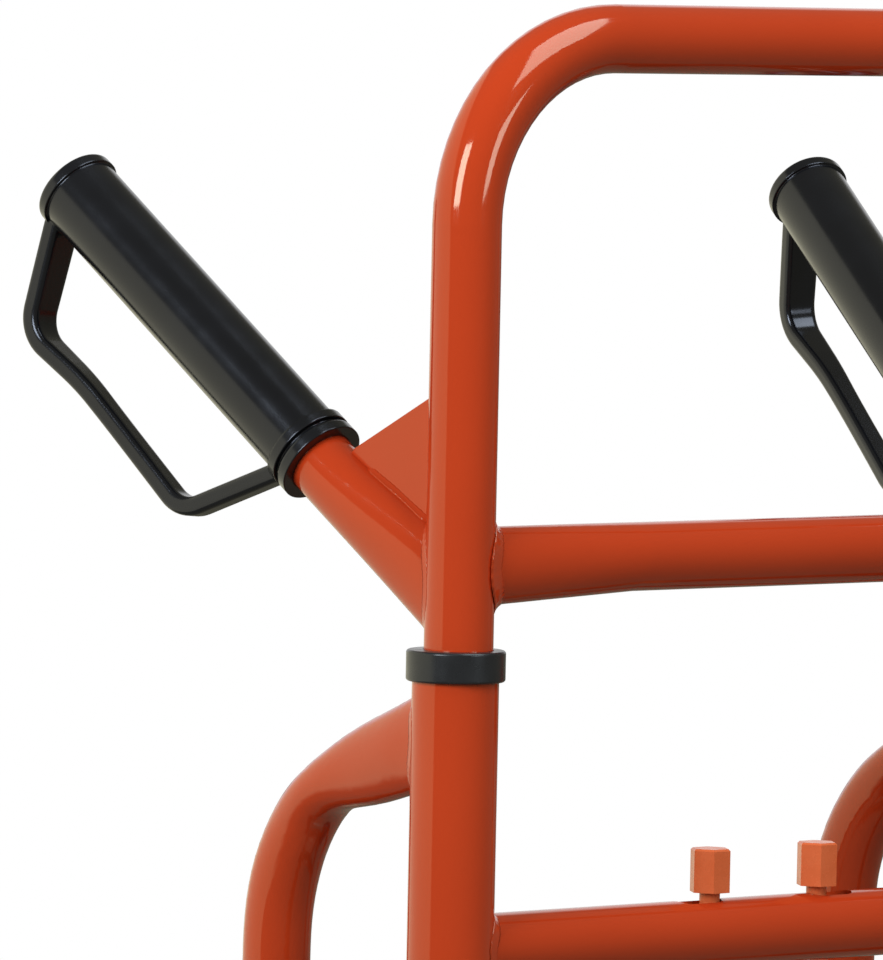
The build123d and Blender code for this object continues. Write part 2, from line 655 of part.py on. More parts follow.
# Finger guards: straps that leave a grip's outer end, pass below the fingers, and come
# back to its inner end. They are wide at the outer end and narrow quickly after the first
# corner. Their long side bows a little towards the grip.
GUARD_ROUTE = ((266.5, 12.0), (245.5, 58.2), (210.0, 55.8), (133.5, 60.7), (105.3, 14.8))
GUARD_CORNERS_R = (16.0, 140.0, 16.0)
GUARD_WIDTHS = ((GRIP_START, 10.5), (150.0, 10.5), (205.0, 11.0), (245.0, 15.2), (GRIP_END, 16.6))
GUARD_REACH = 40.0
GUARD_EDGE_R = 2.5
guard_solids = {}
for side, sign in SIDES:
    foot, back, along, hang = handle_frame(sign)
    grip_normal = along.cross(hang)
    with BuildPart() as guard:
        with BuildSketch(Plane(origin=foot, x_dir=along, z_dir=grip_normal)):
            with BuildLine():
                FilletPolyline(*GUARD_ROUTE, radius=GUARD_CORNERS_R)
            trace(line_width=GUARD_DEPTH)
        extrude(amount=GUARD_REACH, both=True)
        near_edge = [(place, width / 2) for place, width in GUARD_WIDTHS]
        far_edge = [(place, -width / 2) for place, width in GUARD_WIDTHS]
        with BuildSketch(Plane(origin=foot, x_dir=along, z_dir=hang)):
            with BuildLine():
                Spline(*near_edge)
                Line(near_edge[-1], far_edge[-1])
                Spline(*far_edge)
                Line(far_edge[0], near_edge[0])
            make_face()
        extrude(amount=GRIP_END, both=True, mode=Mode.INTERSECT)
        strap_sides = guard.faces().sort_by(Axis(foot, grip_normal))
        fillet(strap_sides[0].edges() + strap_sides[-1].edges(), radius=GUARD_EDGE_R)
    guard_solids[side] = guard.part

# Grips: moulded sleeves with a double rim at the inner end, an end rim, and the finger
# guard in one piece with them.
GRIP_R = GRIP_D / 2
RIM_R = GRIP_RIM_D / 2
END_R = GRIP_END_D / 2
RIM_BAND = 4.5
RIM_GROOVE = 2.5
END_BAND = 5.5
END_ROUND = 2.0
SECOND_RIM = GRIP_START + RIM_BAND + RIM_GROOVE
for side, sign in SIDES:
    foot, back, along, hang = handle_frame(sign)
    grip_axis = Axis(foot, along)
    with BuildPart() as grip:
        with BuildSketch(Plane(origin=foot, x_dir=along, z_dir=along.cross(hang))):
            with BuildLine():
                Polyline(
                    (GRIP_START, 0),
                    (GRIP_START, RIM_R),
                    (GRIP_START + RIM_BAND, RIM_R),
                    (GRIP_START + RIM_BAND, GRIP_R),
                    (SECOND_RIM, GRIP_R),
                    (SECOND_RIM, RIM_R),
                    (SECOND_RIM + RIM_BAND, RIM_R),
                    (SECOND_RIM + RIM_BAND, GRIP_R),
                    (GRIP_END - END_BAND, GRIP_R),
                    (GRIP_END - END_BAND, END_R),
                    (GRIP_END, END_R),
                    (GRIP_END, 0),
                    close=True,
                )
            make_face()
        revolve(axis=grip_axis)
        end_edge = grip.edges().filter_by(GeomType.CIRCLE).sort_by(grip_axis)[-1]
        fillet(end_edge, radius=END_ROUND)
        add(guard_solids[side])
        with BuildSketch(Plane(origin=foot, z_dir=along)):
            Circle(HOOP_R + PUSH_FIT_GAP)
        extrude(amount=HANDLE_LENGTH + PUSH_FIT_GAP, mode=Mode.SUBTRACT)
    finish(grip, f"{side}_grip")

# Tyres: hollow casings with a rounded sidewall and a grooved crown.
TYRE_R = WHEEL_D / 2
TYRE_HALF = WHEEL_WIDTH / 2
SEAT_R = RIM_SEAT_D / 2
FLANGE_R = RIM_FLANGE_D / 2
RIM_HALF = RIM_WIDTH / 2
TYRE_SHOULDER = (36.0, 120.0)
TYRE_SIDE = (TYRE_HALF, 91.0)
BEAD_RISE = 1.0
BEAD_TOP = (RIM_HALF, FLANGE_R + BEAD_RISE)
CASING_BEAD = 18.0
CASING_FOOT = (CASING_BEAD, FLANGE_R)
CASING_SIDE = (35.0, 90.0)
CASING_SHOULDER = (28.5, 112.0)
CASING_CROWN_R = 120.0
GROOVE_DEPTH = 4.0
GROOVE_WIDTH = 4.0
GROOVE_PLACES = (-21.0, -7.0, 7.0, 21.0)
for side, sign in SIDES:
    with BuildPart() as tyre:
        with BuildSketch(wheel_plane(sign)):
            with BuildLine():
                TangentArc((0, TYRE_R), TYRE_SHOULDER, tangent=(1, 0))
                ThreePointArc(TYRE_SHOULDER, TYRE_SIDE, BEAD_TOP)
                Polyline(BEAD_TOP, (RIM_HALF, SEAT_R), (CASING_BEAD, SEAT_R), CASING_FOOT)
                ThreePointArc(CASING_FOOT, CASING_SIDE, CASING_SHOULDER)
                TangentArc((0, CASING_CROWN_R), CASING_SHOULDER, tangent=(1, 0))
                mirror(about=Plane.YZ)
            make_face()
            for place in GROOVE_PLACES:
                with Locations((place, TYRE_R)):
                    Rectangle(GROOVE_WIDTH, 2 * GROOVE_DEPTH + place**2 / TYRE_R, mode=Mode.SUBTRACT)
        revolve(axis=WHEEL_AXIS)
    finish(tyre, f"{side}_tyre")

# Inner tubes: thin air tubes that fill the tyres.
TUBE_WALL = 2.0
TUBE_CENTRE_R = 86.5
TUBE_HALF_WIDTH = 29.5
TUBE_HALF_HEIGHT = 31.5
tube_solids = {}
for side, sign in SIDES:
    with BuildPart() as inner_tube:
        with BuildSketch(wheel_plane(sign)):
            with Locations((0, TUBE_CENTRE_R)):
                Ellipse(TUBE_HALF_WIDTH, TUBE_HALF_HEIGHT)
                Ellipse(TUBE_HALF_WIDTH - TUBE_WALL, TUBE_HALF_HEIGHT - TUBE_WALL, mode=Mode.SUBTRACT)
        revolve(axis=WHEEL_AXIS)
    tube_solids[side] = inner_tube.part
    finish(inner_tube, f"{side}_inner_tube")

# Rims: two pressed halves to a wheel, bolted face to face round the hub.
HUB_R = HUB_D / 2
RIM_BOLT_HOLE_R = 3.2
RIM_BOLT_ANGLE = 45.0
RIM_LIP_R = 1.2
RIM_EDGE_R = 2.4
RIM_DISH_R = 4.0
VALVE_D = 8.0
VALVE_X = 12.0
for side, sign in SIDES:
    for half, reach in (("outer", 1), ("inner", -1)):
        with BuildPart() as rim:
            with BuildSketch(wheel_plane(sign)):
                with BuildLine():
                    FilletPolyline(
                        (0, HUB_R),
                        (0, SEAT_R),
                        (reach * RIM_HALF, SEAT_R),
                        (reach * RIM_HALF, FLANGE_R),
                        (reach * (RIM_HALF + RIM_SHEET), FLANGE_R),
                        (reach * (RIM_HALF + RIM_SHEET), SEAT_R - RIM_SHEET),
                        (reach * RIM_SHEET, SEAT_R - RIM_SHEET),
                        (reach * RIM_SHEET, HUB_R),
                        radius=(0, 0, 0, RIM_LIP_R, RIM_LIP_R, RIM_EDGE_R, RIM_DISH_R, 0),
                        close=True,
                    )
                make_face()
            revolve(axis=WHEEL_AXIS)
            with BuildSketch(Plane.YZ.offset(sign * WHEEL_X)):
                with Locations((AXLE_Y, AXLE_Z)):
                    with PolarLocations(RIM_BOLT_CIRCLE / 2, RIM_BOLTS, start_angle=RIM_BOLT_ANGLE):
                        Circle(RIM_BOLT_HOLE_R)
            extrude(amount=2 * RIM_SHEET, both=True, mode=Mode.SUBTRACT)
            with BuildSketch(Plane.XY.offset(AXLE_Z)):
                with Locations((sign * (WHEEL_X + VALVE_X), AXLE_Y)):
                    Circle(VALVE_D / 2)
            extrude(amount=FLANGE_R, mode=Mode.SUBTRACT)
        finish(rim, f"{side}_rim_{half}_half")

# Hubs: turned tubes with a pocket for a bearing at each end.
HUB_SHOULDER = 2.5
HUB_EDGE = 1.0
for side, sign in SIDES:
    pocket_x = HUB_LENGTH / 2 - BEARING_WIDTH
    with BuildPart() as hub:
        with BuildSketch(wheel_plane(sign)):
            with BuildLine():
                Polyline(
                    (-HUB_LENGTH / 2, HUB_R),
                    (HUB_LENGTH / 2, HUB_R),
                    (HUB_LENGTH / 2, BEARING_D / 2),
                    (pocket_x, BEARING_D / 2),
                    (pocket_x, BEARING_D / 2 - HUB_SHOULDER),
                    (-pocket_x, BEARING_D / 2 - HUB_SHOULDER),
                    (-pocket_x, BEARING_D / 2),
                    (-HUB_LENGTH / 2, BEARING_D / 2),
                    close=True,
                )
            make_face()
        revolve(axis=WHEEL_AXIS)
        chamfer(hub.edges().filter_by(GeomType.CIRCLE).sort_by(SortBy.RADIUS)[-2:], length=HUB_EDGE)
    finish(hub, f"{side}_hub")

# Wheel bearings: a pair to each hub, with the shield sunk between the rings.
SHIELD_SINK = 1.0
INNER_RING = 4.0
OUTER_RING = 3.5
for side, sign in SIDES:
    with BuildPart() as wheel_bearings:
        for end in (-1, 1):
            outer_x = end * HUB_LENGTH / 2
            inner_x = end * (HUB_LENGTH / 2 - BEARING_WIDTH)
            with BuildSketch(wheel_plane(sign)):
                with BuildLine():
                    Polyline(
                        (inner_x, AXLE_R + RUNNING_GAP),
                        (outer_x, AXLE_R + RUNNING_GAP),
                        (outer_x, AXLE_R + INNER_RING),
                        (outer_x - end * SHIELD_SINK, AXLE_R + INNER_RING),
                        (outer_x - end * SHIELD_SINK, BEARING_D / 2 - OUTER_RING),
                        (outer_x, BEARING_D / 2 - OUTER_RING),
                        (outer_x, BEARING_D / 2),
                        (inner_x, BEARING_D / 2),
                        close=True,
                    )
                make_face()
            revolve(axis=WHEEL_AXIS)
    finish(wheel_bearings, f"{side}_wheel_bearings")

# Rim bolts: hexagon bolts with nuts, through both halves of each rim.
RIM_BOLT_HEX = 10.0
RIM_BOLT_HEAD = 4.0
RIM_BOLT_NUT = 5.0
RIM_BOLT_SLACK = 0.2
for side, sign in SIDES:
    with BuildPart() as rim_bolts:
        for reach, height in ((1, RIM_BOLT_HEAD), (-1, RIM_BOLT_NUT)):
            with BuildSketch(Plane.YZ.offset(sign * (WHEEL_X + reach * RIM_SHEET))):
                with Locations((AXLE_Y, AXLE_Z)):
                    with PolarLocations(RIM_BOLT_CIRCLE / 2, RIM_BOLTS, start_angle=RIM_BOLT_ANGLE):
                        RegularPolygon(RIM_BOLT_HEX / 2, 6, major_radius=False)
            extrude(amount=sign * reach * height)
        with BuildSketch(Plane.YZ.offset(sign * WHEEL_X)):
            with Locations((AXLE_Y, AXLE_Z)):
                with PolarLocations(RIM_BOLT_CIRCLE / 2, RIM_BOLTS, start_angle=RIM_BOLT_ANGLE):
                    Circle(RIM_BOLT_HOLE_R - RIM_BOLT_SLACK)
        extrude(amount=RIM_SHEET, both=True)
    finish(rim_bolts, f"{side}_rim_bolts")

# Valves: stems that leave the inner tubes, pass through the rims' seats, and end in a cap.
VALVE_TOP_R = 57.5
VALVE_NECK_R = 43.0
VALVE_CAP_R = 38.0
VALVE_TIP_R = 30.5
VALVE_NECK_D = 5.2
VALVE_CAP_D = 7.2
for side, sign in SIDES:
    valve_x = sign * (WHEEL_X + VALVE_X)
    with BuildPart() as valve:
        with BuildSketch(Plane(origin=(valve_x, AXLE_Y, AXLE_Z), x_dir=(1, 0, 0), z_dir=(0, -1, 0))):
            with BuildLine():
                Polyline(
                    (0, VALVE_TIP_R),
                    (VALVE_CAP_D / 2, VALVE_TIP_R),
                    (VALVE_CAP_D / 2, VALVE_CAP_R),
                    (VALVE_NECK_D / 2, VALVE_CAP_R),
                    (VALVE_NECK_D / 2, VALVE_NECK_R),
                    (VALVE_D / 2, VALVE_NECK_R),
                    (VALVE_D / 2, VALVE_TOP_R),
                    (0, VALVE_TOP_R),
                    close=True,
                )
            make_face()
        revolve(axis=Axis((valve_x, AXLE_Y, AXLE_Z), (0, 0, 1)))
        add(tube_solids[side], mode=Mode.SUBTRACT)
    finish(valve, f"{side}_valve")
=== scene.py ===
import math

import bmesh
import bpy
from mathutils import Matrix, Vector


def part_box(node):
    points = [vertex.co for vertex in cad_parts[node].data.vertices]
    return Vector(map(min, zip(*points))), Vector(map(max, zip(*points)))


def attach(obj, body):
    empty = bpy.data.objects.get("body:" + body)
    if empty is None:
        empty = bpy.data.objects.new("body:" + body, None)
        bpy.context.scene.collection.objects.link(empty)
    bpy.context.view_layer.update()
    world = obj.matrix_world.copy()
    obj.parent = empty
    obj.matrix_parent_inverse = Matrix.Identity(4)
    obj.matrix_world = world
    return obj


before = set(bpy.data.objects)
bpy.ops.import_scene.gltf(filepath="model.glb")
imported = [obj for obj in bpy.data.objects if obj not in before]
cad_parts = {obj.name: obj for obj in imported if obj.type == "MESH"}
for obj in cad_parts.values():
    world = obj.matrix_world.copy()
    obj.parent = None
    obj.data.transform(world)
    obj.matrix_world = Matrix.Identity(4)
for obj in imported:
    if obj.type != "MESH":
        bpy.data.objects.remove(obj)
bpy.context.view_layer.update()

# Toe plate: a steel plate that slides under the load. Like all of the steelwork, it is dipped
# and stoved after the welding, in one thick, glossy coat of red enamel.
ENAMEL_DEEP = (0.450, 0.0357, 0.0070, 1)
ENAMEL_LIGHT = (0.485, 0.0400, 0.0081, 1)
ENAMEL_SHINE = (1.0, 0.93, 0.68, 1)
ENAMEL_IOR = 1.57
NOISE_LOW = 0.3
NOISE_HIGH = 0.7


def new_finish(name):
    """A material with its shader, and the place on the piece in metres, ready for more nodes."""
    finish = bpy.data.materials.new(name)
    finish.use_nodes = True
    shader = finish.node_tree.nodes["Principled BSDF"]
    place = finish.node_tree.nodes.new("ShaderNodeTexCoord").outputs["Object"]
    return finish, shader, place


def add_noise(finish, place, grain, detail):
    """Soft cloudy noise whose lumps are about one grain across, in metres."""
    noise = finish.node_tree.nodes.new("ShaderNodeTexNoise")
    noise.inputs["Scale"].default_value = 1 / grain
    noise.inputs["Detail"].default_value = detail
    finish.node_tree.links.new(place, noise.inputs["Vector"])
    return noise.outputs["Fac"]


def tint_between(finish, shader, noise, first, second):
    """Lets the colour drift from the first to the second as the noise rises."""
    ramp = finish.node_tree.nodes.new("ShaderNodeValToRGB")
    ramp.color_ramp.elements[0].position = NOISE_LOW
    ramp.color_ramp.elements[0].color = first
    ramp.color_ramp.elements[1].position = NOISE_HIGH
    ramp.color_ramp.elements[1].color = second
    finish.node_tree.links.new(noise, ramp.inputs["Fac"])
    finish.node_tree.links.new(ramp.outputs["Color"], shader.inputs["Base Color"])


def gloss_between(finish, shader, noise, smooth, rough):
    """Lets the roughness drift from smooth to rough as the noise rises."""
    spread = finish.node_tree.nodes.new("ShaderNodeMapRange")
    spread.inputs["From Min"].default_value = NOISE_LOW
    spread.inputs["From Max"].default_value = NOISE_HIGH
    spread.inputs["To Min"].default_value = smooth
    spread.inputs["To Max"].default_value = rough
    finish.node_tree.links.new(noise, spread.inputs["Value"])
    finish.node_tree.links.new(spread.outputs["Result"], shader.inputs["Roughness"])


def raise_by(finish, shader, noise, height, strength):
    """Raises the surface with the noise, by up to the given height in metres."""
    bump = finish.node_tree.nodes.new("ShaderNodeBump")
    bump.inputs["Distance"].default_value = height
    bump.inputs["Strength"].default_value = strength
    finish.node_tree.links.new(noise, bump.inputs["Height"])
    finish.node_tree.links.new(bump.outputs["Normal"], shader.inputs["Normal"])
    return bump


def give_finish(finish, *names):
    """Puts a finish on the named pieces of the frame."""
    for name in names:
        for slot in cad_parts[name].material_slots:
            slot.material = finish


red_enamel, shader, place = new_finish("red_enamel")
clouds = add_noise(red_enamel, place, grain=0.12, detail=2)
tint_between(red_enamel, shader, clouds, ENAMEL_DEEP, ENAMEL_LIGHT)
patches = add_noise(red_enamel, place, grain=0.02, detail=3)
gloss_between(red_enamel, shader, patches, smooth=0.06, rough=0.10)
shader.inputs["Specular Tint"].default_value = ENAMEL_SHINE
shader.inputs["IOR"].default_value = ENAMEL_IOR
ripples = add_noise(red_enamel, place, grain=0.0045, detail=1)
raise_by(red_enamel, shader, ripples, height=0.0003, strength=0.03)
give_finish(red_enamel, "toe_plate")

# Toe ribs: two triangular steel plates that stand on the toe plate, in front of the uprights, and
# brace it against them. They are welded along both faces, and the enamel covers the welds.
give_finish(red_enamel, "left_toe_rib", "right_toe_rib")
SIDES = {"left": -1, "right": 1}
FORWARD = Vector((0, -1, 0))
UPWARD = Vector((0, 0, 1))
RIB_WELD = 0.0034
RIB_CORNER = 0.002
RIB_TIP = 0.001
WELD_STEP = 0.0007
WELD_RIPPLES = ((0.05, 0.00045), (0.06, 0.0031))
WELD_START = 0.25
WELD_TAPER = 0.003
WELD_SINK = 0.0002
WELD_ROOT = 0.0004
WELD_HOLLOW = 0.3
WELD_FACE = (0, 0.25, 0.5, 0.75, 1)


def join_rings(faces, start, around, count, closed):
    """Adds the faces between neighbouring rings of points, and one on each end of an open run."""
    for i in range(count if closed else count - 1):
        here = start + around * i
        there = start + around * ((i + 1) % count)
        for turn in range(around):
            beside = (turn + 1) % around
            faces.append((here + turn, here + beside, there + beside, there + turn))
    if not closed:
        last = start + around * (count - 1)
        faces.append(tuple(range(start, start + around)))
        faces.append(tuple(range(last, last + around)))


def lay_weld(points, faces, seam, size, closed):
    """Adds one run of weld to a mesh: a slightly hollow fillet with the faint ripple of its passes.
    A seam lists its spots, each with the two ways the weld spreads and the two surfaces' outsides."""
    walk = seam + seam[:1] if closed else seam
    sections = []
    travel = 0
    for here, there in zip(walk, walk[1:]):
        length = (there[0] - here[0]).length
        steps = max(1, round(length / WELD_STEP))
        for i in range(steps):
            mixed = [first.lerp(second, i / steps) for first, second in zip(here, there)]
            sections.append((travel + length * i / steps, mixed))
        travel += length
    if not closed:
        sections.append((travel, walk[-1]))
    start = len(points)
    for distance, (spot, way_a, way_b, out_a, out_b) in sections:
        ripple = 1 + sum(swell * math.sin(distance / pitch) for swell, pitch in WELD_RIPPLES)
        taper = 1 if closed else min(1, WELD_START + min(distance, travel - distance) / WELD_TAPER)
        reach = size * ripple * taper
        toe_a = spot + way_a * reach - out_a * WELD_SINK
        toe_b = spot + way_b * reach - out_b * WELD_SINK
        hollow = spot + (way_a + way_b) * (reach * WELD_HOLLOW)
        points.append(spot - (out_a + out_b) * WELD_ROOT)
        for share in WELD_FACE:
            points.append(toe_a.lerp(hollow, share).lerp(hollow.lerp(toe_b, share), share))
    join_rings(faces, start, len(WELD_FACE) + 1, len(sections), closed)


def make_piece(name, points, faces, finish, body):
    """Makes one smooth piece of a list of points and faces, with all its faces turned outward."""
    mesh = bpy.data.meshes.new(name)
    mesh.from_pydata(points, [], faces)
    shape = bmesh.new()
    shape.from_mesh(mesh)
    bmesh.ops.recalc_face_normals(shape, faces=shape.faces)
    shape.to_mesh(mesh)
    shape.free()
    mesh.polygons.foreach_set("use_smooth", [True] * len(mesh.polygons))
    mesh.materials.append(finish)
    piece = bpy.data.objects.new(name, mesh)
    bpy.context.collection.objects.link(piece)
    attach(piece, body)


def weld_piece(name, seams, size, body, closed):
    """Makes one piece of all the weld runs of one kind, painted with the frame."""
    points = []
    faces = []
    for seam in seams:
        lay_weld(points, faces, seam, size, closed)
    make_piece(name, points, faces, red_enamel, body)


def straight_seam(start, end, out_a, out_b):
    """A straight run in the square corner between two surfaces."""
    return [(start, out_b, out_a, out_a, out_b), (end, out_b, out_a, out_a, out_b)]


plate_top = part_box("toe_plate")[1].z
upright_low, upright_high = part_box("right_upright")
upright_x = (upright_low.x + upright_high.x) / 2
upright_r = (upright_high.x - upright_low.x) / 2
rib_low, rib_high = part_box("right_toe_rib")
rib_half = (rib_high.x - rib_low.x) / 2
rib_back = -math.sqrt(upright_r**2 - rib_half**2)
rib_seams = []
for sign in SIDES.values():
    for face in (-1, 1):
        x = sign * upright_x + face * rib_half
        sideways = Vector((face, 0, 0))
        post_foot = Vector((x, rib_back, plate_top + RIB_CORNER))
        post_head = Vector((x, rib_back, rib_high.z - RIB_TIP))
        rib_seams.append(straight_seam(post_foot, post_head, sideways, FORWARD))
        heel = Vector((x, rib_back - RIB_CORNER, plate_top))
        toe = Vector((x, rib_low.y + RIB_TIP, plate_top))
        rib_seams.append(straight_seam(heel, toe, sideways, UPWARD))
weld_piece("toe_rib_welds", rib_seams, RIB_WELD, "frame", closed=False)

# Uprights: two 35 mm steel tubes that stand on the toe plate and carry the load's weight.
# Each is welded to the plate all round its foot.
give_finish(red_enamel, "left_upright", "right_upright")
FOOT_WELD = 0.0038
FOOT_SPOTS = 64
foot_seams = []
for sign in SIDES.values():
    foot_seam = []
    for i in range(FOOT_SPOTS):
        angle = 2 * math.pi * i / FOOT_SPOTS
        outward = Vector((math.cos(angle), math.sin(angle), 0))
        spot = Vector((sign * upright_x, 0, plate_top)) + outward * upright_r
        foot_seam.append((spot, UPWARD, outward, outward, UPWARD))
    foot_seams.append(foot_seam)
weld_piece("upright_foot_welds", foot_seams, FOOT_WELD, "frame", closed=True)

# Cross bars of the lower frame: three 28 mm tubes, cut to fit round the uprights and welded
# to them. The top one is slotted for the lock that holds the hoop at its height.
CROSS_BARS = ("lock_cross_bar", "middle_cross_bar", "bottom_cross_bar")
CROSS_BAR_WELD = 0.0034
SEAM_SPOTS = 96
SEAM_ROUNDS = 4
give_finish(red_enamel, *CROSS_BARS)


def seam_on_post(start, heading, ovals, length, post_x, post_r):
    """The seam where a tube meets an upright post. The tube is an oval that changes evenly from its
    first half width and half height, at its start, to its second ones after the length."""
    side_way = heading.cross(UPWARD).normalized()
    up_way = side_way.cross(heading)
    (wide, tall), (end_wide, end_tall) = ovals
    flat = heading.x**2 + heading.y**2
    seam = []
    for i in range(SEAM_SPOTS):
        angle = 2 * math.pi * i / SEAM_SPOTS
        across = side_way * math.cos(angle)
        over = up_way * math.sin(angle)
        reach = post_r
        for _ in range(SEAM_ROUNDS):
            half_wide = wide + (end_wide - wide) * reach / length
            half_tall = tall + (end_tall - tall) * reach / length
            spot = start + across * half_wide + over * half_tall
            along = (spot.x - post_x) * heading.x + spot.y * heading.y
            gap = (spot.x - post_x) ** 2 + spot.y**2 - post_r**2
            reach = (-along + math.sqrt(max(0, along**2 - flat * gap))) / flat
        spot = spot + heading * reach
        tube_out = (across * half_tall + over * half_wide).normalized()
        post_out = Vector((spot.x - post_x, spot.y, 0)).normalized()
        run = tube_out.cross(post_out).normalized()
        tube_way = run.cross(tube_out)
        post_way = run.cross(post_out)
        tube_way = tube_way if tube_way.dot(post_out) > 0 else -tube_way
        post_way = post_way if post_way.dot(tube_out) > 0 else -post_way
        seam.append((spot, tube_way, post_way, tube_out, post_out))
    return seam


bar_seams = []
for name in CROSS_BARS:
    bar_low, bar_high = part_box(name)
    bar_r = (bar_high.z - bar_low.z) / 2
    ovals = ((bar_r, bar_r), (bar_r, bar_r))
    for sign in SIDES.values():
        start = Vector((sign * upright_x, 0, (bar_low.z + bar_high.z) / 2))
        inward = Vector((-sign, 0, 0))
        bar_seams.append(seam_on_post(start, inward, ovals, bar_r, sign * upright_x, upright_r))
weld_piece("cross_bar_welds", bar_seams, CROSS_BAR_WELD, "frame", closed=True)

# Skids: 28 mm tubes behind the uprights, on which the truck slides up kerbs and stairs. Their
# top ends are pinched to a tall oval where they are welded to the uprights.
give_finish(red_enamel, "left_skid", "right_skid")
SKID_WELD = 0.0024
SKID_ROOT_Z = 0.7572
SKID_ROOT_OUT = 0.005
SKID_BACK = 0.125
SKID_IN = 0.015
SKID_FALL = math.radians(17.1)
SKID_OVALS = ((0.0105, 0.0194), (0.0108, 0.0189))
SKID_TAPER = 0.022
skid_seams = []
for sign in SIDES.values():
    start = Vector((sign * (upright_x + SKID_ROOT_OUT), 0, SKID_ROOT_Z))
    level = Vector((-sign * SKID_IN, SKID_BACK, 0)).normalized()
    heading = (level - UPWARD * math.tan(SKID_FALL)).normalized()
    skid_seams.append(seam_on_post(start, heading, SKID_OVALS, SKID_TAPER, sign * upright_x, upright_r))
weld_piece("skid_welds", skid_seams, SKID_WELD, "frame", closed=True)

# Axle brackets: 6 mm plates cut to a rounded triangle, welded to the backs of the uprights
# along both faces, with an eye that the axle is pushed through.
give_finish(red_enamel, "left_axle_bracket", "right_axle_bracket")
BRACKET_WELD = 0.0034
BRACKET_TIP = 0.006
bracket_low, bracket_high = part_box("right_axle_bracket")
bracket_seams = []
for sign in SIDES.values():
    for face_x, face in ((bracket_low.x, -1), (bracket_high.x, 1)):
        y = math.sqrt(upright_r**2 - (upright_x - face_x) ** 2)
        sideways = Vector((sign * face, 0, 0))
        post_out = Vector((sign * (face_x - upright_x), y, 0)).normalized()
        post_way = Vector((-post_out.y, post_out.x, 0))
        post_way = post_way if post_way.dot(sideways) > 0 else -post_way
        bracket_seam = []
        for z in (bracket_low.z + BRACKET_TIP, bracket_high.z - BRACKET_TIP):
            bracket_seam.append((Vector((sign * face_x, y, z)), -FORWARD, post_way, sideways, post_out))
        bracket_seams.append(bracket_seam)
weld_piece("axle_bracket_welds", bracket_seams, BRACKET_WELD, "frame", closed=False)

# Axle, spacers and washers: a 20 mm round bar, sleeves and washers, all zinc plated, with the
# fine cloudy spangle that plating leaves.
ZINC_DULL = (0.52, 0.52, 0.50, 1)
ZINC_BRIGHT = (0.63, 0.62, 0.59, 1)
zinc_plate, shader, place = new_finish("zinc_plate")
shader.inputs["Metallic"].default_value = 1
clouds = add_noise(zinc_plate, place, grain=0.006, detail=4)
tint_between(zinc_plate, shader, clouds, ZINC_DULL, ZINC_BRIGHT)
patches = add_noise(zinc_plate, place, grain=0.003, detail=3)
gloss_between(zinc_plate, shader, patches, smooth=0.26, rough=0.44)
spangle = add_noise(zinc_plate, place, grain=0.0025, detail=1)
raise_by(zinc_plate, shader, spangle, height=0.0001, strength=0.05)
give_finish(zinc_plate, "axle", "left_axle_spacer", "right_axle_spacer", "axle_washers")

# Axle caps: domed caps moulded in black polyethylene, pressed on to the axle's ends to hold the
# washers and wheels.
MOULDING_DEEP = (0.0120, 0.0120, 0.0135, 1)
MOULDING_LIGHT = (0.0165, 0.0165, 0.0180, 1)
black_moulding, shader, place = new_finish("black_moulding")
clouds = add_noise(black_moulding, place, grain=0.03, detail=2)
tint_between(black_moulding, shader, clouds, MOULDING_DEEP, MOULDING_LIGHT)
patches = add_noise(black_moulding, place, grain=0.008, detail=3)
gloss_between(black_moulding, shader, patches, smooth=0.24, rough=0.34)
texture = add_noise(black_moulding, place, grain=0.0009, detail=2)
raise_by(black_moulding, shader, texture, height=0.0001, strength=0.15)
give_finish(black_moulding, "left_axle_cap", "right_axle_cap")

# Tyres, inner tubes and valves: air tyres of black rubber, cured in a mould that leaves them matt
# and slightly rough, each held up by a rubber tube with its valve through the rim.
RUBBER_DEEP = (0.013, 0.013, 0.013, 1)
RUBBER_LIGHT = (0.026, 0.025, 0.024, 1)
tyre_rubber, shader, place = new_finish("tyre_rubber")
clouds = add_noise(tyre_rubber, place, grain=0.025, detail=4)
tint_between(tyre_rubber, shader, clouds, RUBBER_DEEP, RUBBER_LIGHT)
patches = add_noise(tyre_rubber, place, grain=0.01, detail=3)
gloss_between(tyre_rubber, shader, patches, smooth=0.58, rough=0.78)
texture = add_noise(tyre_rubber, place, grain=0.0011, detail=3)
raise_by(tyre_rubber, shader, texture, height=0.0002, strength=0.25)
for side in SIDES:
    give_finish(tyre_rubber, f"{side}_tyre", f"{side}_inner_tube", f"{side}_valve")

# Tyre lugs: the moulded blocks that wrap each tyre's shoulders, and two raised lines on its walls.
# They are part of the same rubber, and run from the crown down to the widest part of the wall.
LUG_COUNT = 36
LUG_HALF = 0.0056
LUG_TOP = 0.82
LUG_HEIGHT = 0.0022
LUG_SINK = 0.0006
LUG_LEAN = math.radians(2.2)
LUG_RINGS = 9
LUG_FIRST_RISE = 0.25
LUG_RISE_RATE = 4
LUG_LAST_RISE = 0.15
LUG_FALL_RATE = 3
CROWN_CENTRE = 0.0602
CROWN_R = 0.0698
CROWN_SHARE = 0.4
CROWN_EDGE_X = 0.0255
SHOULDER_X = 0.0360
WALL_CENTRE = (-0.0024, 0.0962)
WALL_R = 0.0452
WALL_TOP = math.radians(31.8)
WALL_SWEEP = math.radians(27)
WALL_LINES = (0.100, 0.074)
WALL_LINE_R = 0.0009
WALL_LINE_STEPS = 120
WALL_LINE_AROUND = 8
tyre_low, tyre_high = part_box("right_tyre")
wheel_middle = (tyre_low + tyre_high) / 2


